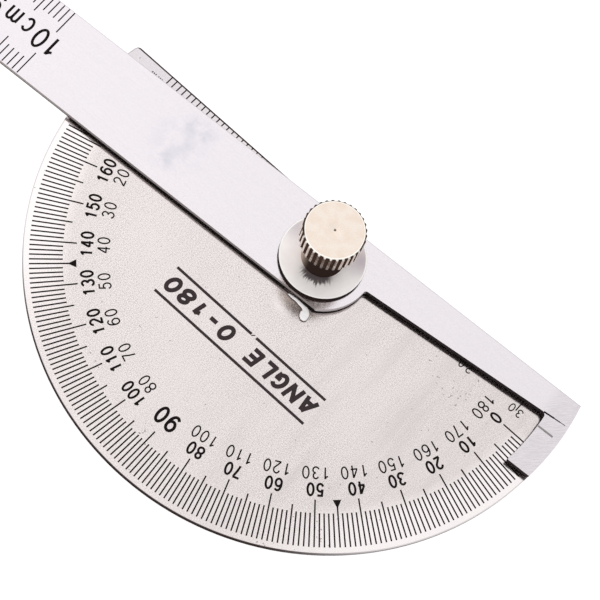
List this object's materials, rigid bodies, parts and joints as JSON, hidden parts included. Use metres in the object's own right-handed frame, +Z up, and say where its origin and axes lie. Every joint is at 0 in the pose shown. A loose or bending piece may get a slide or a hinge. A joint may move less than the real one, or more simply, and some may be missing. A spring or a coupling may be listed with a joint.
{
  "type": "protractor",
  "caption": "Round-head protractor: graduated half-round plate, ruler arm with a curved pointer, and a knurled thumb nut that clamps the arm at an angle.",
  "frame": {"origin": "on the pivot axis at the underside of the head plate, where the stud's flush head ends", "axes": "+X along the plate's straight edge towards the ruler blade, +Y from the pivot towards the middle of the degree ring, +Z up the pivot axis through the thumb nut"},
  "size_m": [0.1996, 0.0549, 0.0144],
  "materials": {
    "plate_steel": "matte, finely brushed, with black etched graduations",
    "stud_steel": "turned steel",
    "shim_nylon": "white nylon sheet",
    "arm_steel": "bright satin, with black etched graduations",
    "washer_plating": "bright nickel plating",
    "knob_plating": "nickel-plated brass, turned face, straight knurl"
  },
  "bodies": {
    "head": {"head_plate": "plate_steel", "pivot_stud": "stud_steel"},
    "arm": {"arm_blade": "arm_steel", "friction_shim": "shim_nylon"},
    "washer": {"flat_washer": "washer_plating"},
    "knob": {"clamp_knob": "knob_plating"}
  },
  "joints": [
    {"name": "arm_turn", "type": "hinge", "parent": "head", "child": "arm", "pos_m": [0, 0, 0.002], "axis": [0, 0, 1], "continuous": true},
    {"name": "washer_lift", "type": "slide", "parent": "head", "child": "washer", "axis": [0, 0, 1], "range_m": [0, 0.0014]},
    {"name": "knob_turn", "type": "hinge", "parent": "washer", "child": "knob", "pos_m": [0, 0, 0.009], "axis": [0, 0, 1], "range_deg": [0, 720]}
  ],
  "couplings": [
    {"joint": "knob_turn", "follows": "washer_lift", "rad_per_m": 8975.9}
  ]
}
